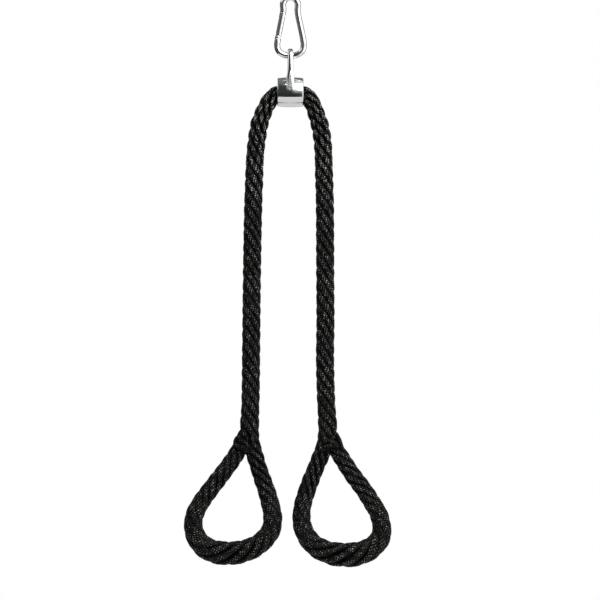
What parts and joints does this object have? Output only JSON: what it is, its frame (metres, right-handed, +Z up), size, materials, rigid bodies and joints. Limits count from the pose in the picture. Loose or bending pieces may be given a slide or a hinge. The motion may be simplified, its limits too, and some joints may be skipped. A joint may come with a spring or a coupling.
{
  "type": "triceps rope attachment",
  "caption": "Black laid rope for a cable machine, hanging in two legs from a steel collar with an eye and a snap hook, each leg ending in a spliced hand loop.",
  "frame": {"origin": "where the machine's own ring bears: the inside top of the snap hook's small bow", "axes": "+X across the two legs towards the right one, +Y from front to back, +Z up"},
  "size_m": [0.2919, 0.0514, 0.8081],
  "materials": {
    "polished_steel": "bright polished",
    "spring_steel": "plain",
    "black_rope": "matt laid yarn with a slight sheen"
  },
  "bodies": {
    "hook": {"hook_body": "polished_steel", "gate_rivet": "polished_steel"},
    "gate": {"gate": "polished_steel", "latch_pin": "polished_steel", "gate_spring": "spring_steel"},
    "plunger": {"gate_plunger": "spring_steel"},
    "collar": {"collar": "polished_steel", "eye_bail": "polished_steel", "rope_centre": "black_rope", "rope_shoulder_left": "black_rope", "rope_shoulder_right": "black_rope"},
    "left_leg": {"rope_leg_left": "black_rope", "rope_wrist_left": "black_rope"},
    "right_leg": {"rope_leg_right": "black_rope", "rope_wrist_right": "black_rope"},
    "left_loop": {"splice_left": "black_rope", "hand_loop_left": "black_rope"},
    "right_loop": {"splice_right": "black_rope", "hand_loop_right": "black_rope"}
  },
  "joints": [
    {"name": "gate_hinge", "type": "hinge", "parent": "hook", "child": "gate", "pos_m": [-0.01738, 0, -0.05199], "axis": [0, 1, 0], "range_deg": [0, 22], "stiffness_Nm_per_rad": 0.4, "springref_deg": -45.84},
    {"name": "plunger_slide", "type": "slide", "parent": "gate", "child": "plunger", "axis": [0.1922, 0, 0.9814], "range_m": [0, 0.0007], "deforming": ["gate_spring"]},
    {"name": "eye_swing", "type": "hinge", "parent": "hook", "child": "collar", "pos_m": [0, 0, -0.078], "axis": [1, 0, 0], "range_deg": [-80, 80]},
    {"name": "left_leg_spread", "type": "hinge", "parent": "collar", "child": "left_leg", "pos_m": [-0.039, 0, -0.1596], "axis": [0, 1, 0], "range_deg": [0, 50], "deforming": ["rope_shoulder_left"]},
    {"name": "right_leg_spread", "type": "hinge", "parent": "collar", "child": "right_leg", "pos_m": [0.037, 0, -0.1596], "axis": [0, -1, 0], "range_deg": [0, 50], "deforming": ["rope_shoulder_right"]},
    {"name": "left_loop_swing", "type": "hinge", "parent": "left_leg", "child": "left_loop", "pos_m": [-0.0567, 0, -0.5762], "axis": [1, 0, 0], "range_deg": [-35, 35], "deforming": ["rope_wrist_left"]},
    {"name": "right_loop_swing", "type": "hinge", "parent": "right_leg", "child": "right_loop", "pos_m": [0.0512, 0, -0.5774], "axis": [1, 0, 0], "range_deg": [-35, 35], "deforming": ["rope_wrist_right"]}
  ],
  "couplings": [
    {"joint": "plunger_slide", "follows": "gate_hinge", "m_per_rad": 0.00156}
  ]
}
